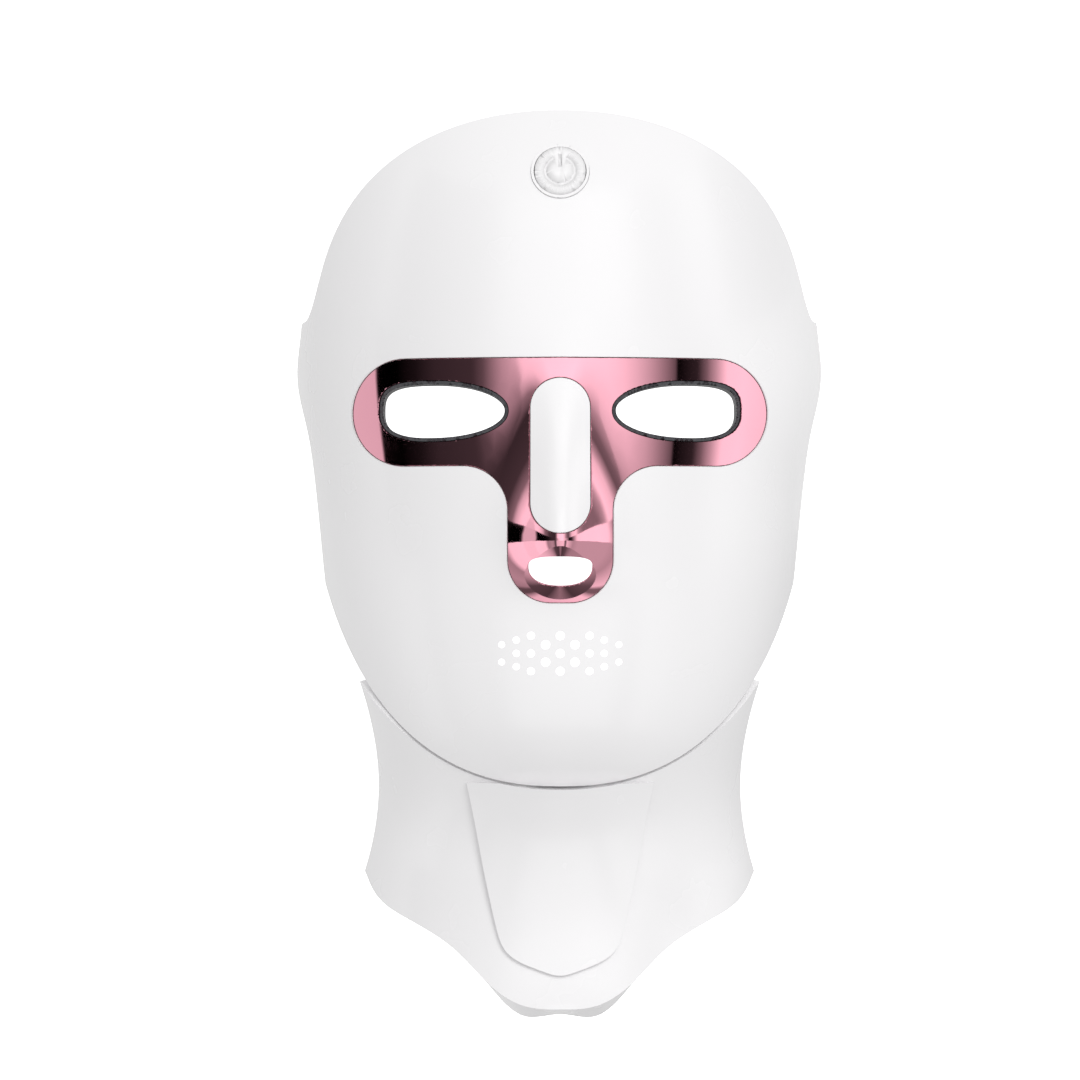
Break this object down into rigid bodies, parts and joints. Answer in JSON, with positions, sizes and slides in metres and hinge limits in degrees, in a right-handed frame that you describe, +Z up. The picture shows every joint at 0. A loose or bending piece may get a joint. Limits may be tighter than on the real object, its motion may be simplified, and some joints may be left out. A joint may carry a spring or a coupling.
{
  "type": "led light therapy mask",
  "caption": "Rigid full-face light-therapy mask with mirrored T visor, press button, elastic head strap and a removable magnetic neck section.",
  "frame": {"origin": "The point on the bridge of the wearer's nose where the nose pad sits, on the mask's plane of symmetry.", "axes": "+X runs to the right seen from the front, across the face; +Y runs from the mask's front to the back of the head; +Z is up."},
  "size_m": [0.1748, 0.2144, 0.29],
  "materials": {
    "white_shell": "smooth satin white",
    "rose_mirror": "rose-gold mirror coating",
    "black_rubber": "matt",
    "clear_cover": "translucent",
    "soft_silicone": "matt translucent silicone",
    "white_button": "satin white",
    "board_white": "white solder mask",
    "board_green": "green solder mask",
    "led": "clear resin",
    "steel": "zinc plated",
    "magnet": "nickel plated",
    "battery_foil": "foil",
    "grey_plastic": "fine grain",
    "dark_plastic": "fine grain",
    "strap_fabric": "woven elastic"
  },
  "bodies": {
    "face": {"outer_shell": "white_shell", "visor": "rose_mirror", "nose_insert": "white_shell", "eye_gasket_left": "black_rubber", "eye_gasket_right": "black_rubber", "inner_cover": "clear_cover", "led_board": "board_white", "face_leds": "led", "button_ring": "white_button", "tact_switch": "dark_plastic", "control_board": "board_green", "battery": "battery_foil", "usb_socket": "steel", "port_bezel": "grey_plastic", "forehead_pad": "soft_silicone", "nose_pad": "soft_silicone", "face_screws": "steel", "face_contacts": "dark_plastic", "chin_magnets": "magnet", "strap_clamp_left": "white_shell", "strap_clamp_right": "white_shell", "head_strap": "strap_fabric", "strap_slider": "grey_plastic"},
    "button": {"power_button": "white_button"},
    "neck": {"neck_shell": "white_shell", "neck_inner_cover": "clear_cover", "neck_led_board": "board_white", "neck_leds": "led", "neck_screws": "steel", "neck_contacts": "dark_plastic", "neck_magnets": "magnet", "neck_driver_board": "board_green"}
  },
  "joints": [
    {"name": "button_press", "type": "slide", "parent": "face", "child": "button", "axis": [0, 0.9382, -0.3461], "range_m": [0, 0.0007], "stiffness_N_per_m": 1500, "springref_m": -0.0008},
    {"name": "neck_detach", "type": "slide", "parent": "face", "child": "neck", "axis": [0, 0, -1], "range_m": [0, 0.04]}
  ]
}
